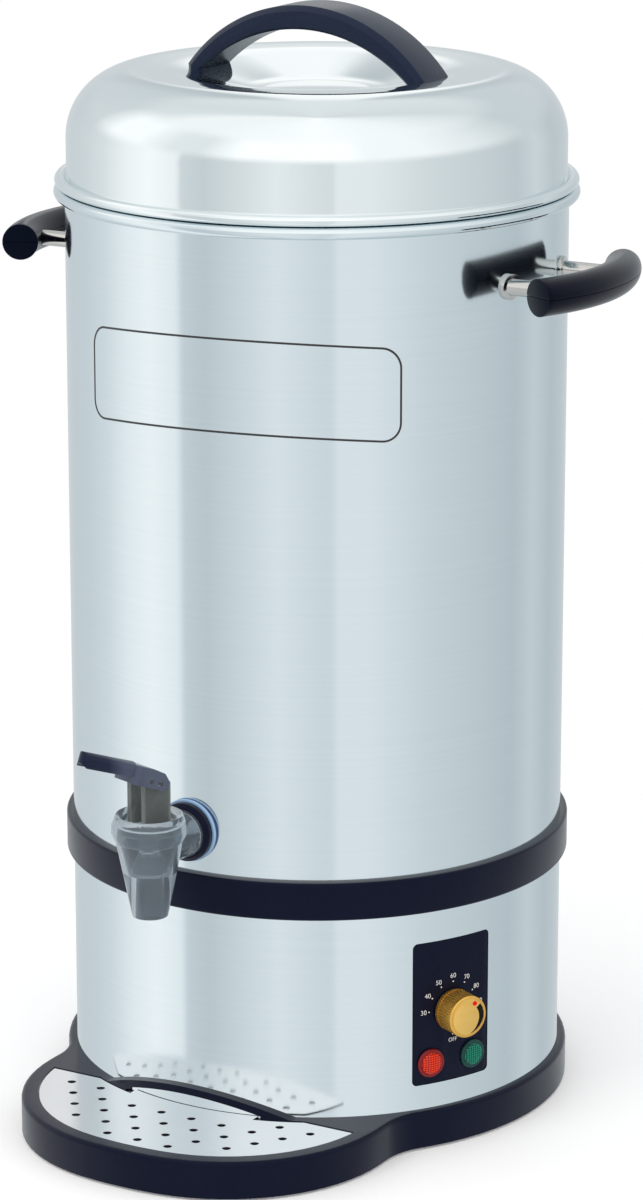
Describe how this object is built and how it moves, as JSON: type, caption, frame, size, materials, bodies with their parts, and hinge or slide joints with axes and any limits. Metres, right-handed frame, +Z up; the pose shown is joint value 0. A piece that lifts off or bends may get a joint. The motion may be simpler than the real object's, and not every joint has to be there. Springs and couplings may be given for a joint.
{
  "type": "mulled wine kettle",
  "caption": "tall steel heated drinks kettle with a domed lift-off lid, arched lid handle, side grips, lever tap, control panel and a black base with a drip tray",
  "frame": {"origin": "on the tank axis, on the plane the feet stand on", "axes": "+Z up, -Y to the front where the tap and drip tray are, +X to the right seen from the front"},
  "size_m": [0.3738, 0.3767, 0.621],
  "materials": {
    "satin_steel": "satin polished sheet",
    "polished_steel": "mirror polished sheet",
    "black_gloss": "glossy black with a blue cast",
    "panel_navy": "dark printed panel",
    "knob_gold": "satin gold",
    "red_lamp": "clear red",
    "green_lamp": "clear green",
    "lamp_black": "black",
    "smoke_plastic": "smoked and slightly clear",
    "lever_dark": "dark",
    "washer_blue": "smooth",
    "seal_white": "smooth",
    "plain_steel": "plain",
    "foot_rubber": "matt",
    "cover_grey": "matt",
    "gland_black": "matt",
    "control_grey": "matt",
    "element_dark": "heat-darkened sheath",
    "element_plate": "plain",
    "bulb_copper": "plain copper"
  },
  "bodies": {
    "kettle": {"tank_shell": "satin_steel", "base_skirt": "satin_steel", "left_posts": "polished_steel", "right_posts": "polished_steel", "belt_ring": "black_gloss", "base_moulding": "black_gloss", "left_grip_upper": "black_gloss", "left_grip_lower": "black_gloss", "right_grip_upper": "black_gloss", "right_grip_lower": "black_gloss", "tap_collar": "black_gloss", "control_panel": "panel_navy", "red_lens": "red_lamp", "green_lens": "green_lamp", "lamp_bezels": "lamp_black", "tap_body": "smoke_plastic", "tap_bonnet": "smoke_plastic", "fork_bracket": "lever_dark", "tap_washer": "washer_blue", "tap_inner_seal": "seal_white", "tap_nut": "seal_white", "joint_band": "plain_steel", "base_screws": "plain_steel", "handle_screws": "plain_steel", "thermostat_nut": "plain_steel", "lever_pin": "plain_steel", "return_spring": "plain_steel", "feet": "foot_rubber", "bottom_cover": "cover_grey", "cable_gland": "gland_black", "gland_nut": "gland_black", "thermostat": "control_grey", "safety_cutout": "control_grey", "terminal_block": "control_grey", "lamp_bodies": "control_grey", "heating_element": "element_dark", "element_plate": "element_plate", "sensor_bulb": "bulb_copper"},
    "lid": {"lid_shell": "polished_steel", "lid_handle": "black_gloss", "lid_handle_screws": "plain_steel"},
    "drip_plate": {"drip_plate": "polished_steel"},
    "knob": {"knob": "knob_gold", "knob_face": "knob_gold", "thermostat_shaft": "plain_steel"},
    "lever": {"tap_lever": "lever_dark"},
    "stem": {"valve_stem": "seal_white", "stem_pin": "plain_steel", "seat_cup": "seal_white"}
  },
  "joints": [
    {"name": "lid_lift", "type": "slide", "parent": "kettle", "child": "lid", "axis": [0, 0, 1], "range_m": [0, 0.12]},
    {"name": "drip_plate_tilt", "type": "hinge", "parent": "kettle", "child": "drip_plate", "pos_m": [0, -0.13033, 0.0207], "axis": [-1, 0, 0], "range_deg": [0, 6]},
    {"name": "knob_turn", "type": "hinge", "parent": "kettle", "child": "knob", "pos_m": [0.12418, -0.06464, 0.0782], "axis": [-0.887, 0.4617, 0], "range_deg": [-211, 59]},
    {"name": "lever_tilt", "type": "hinge", "parent": "kettle", "child": "lever", "pos_m": [-0.00195, -0.18667, 0.226], "axis": [0.9455, -0.3256, 0], "range_deg": [0, 25]},
    {"name": "stem_lift", "type": "slide", "parent": "kettle", "child": "stem", "axis": [0, 0, 1], "range_m": [0, 0.0027], "stiffness_N_per_m": 400, "springref_m": -0.006, "deforming": ["return_spring"]}
  ],
  "couplings": [
    {"joint": "lever_tilt", "follows": "stem_lift", "rad_per_m": 161.08}
  ]
}
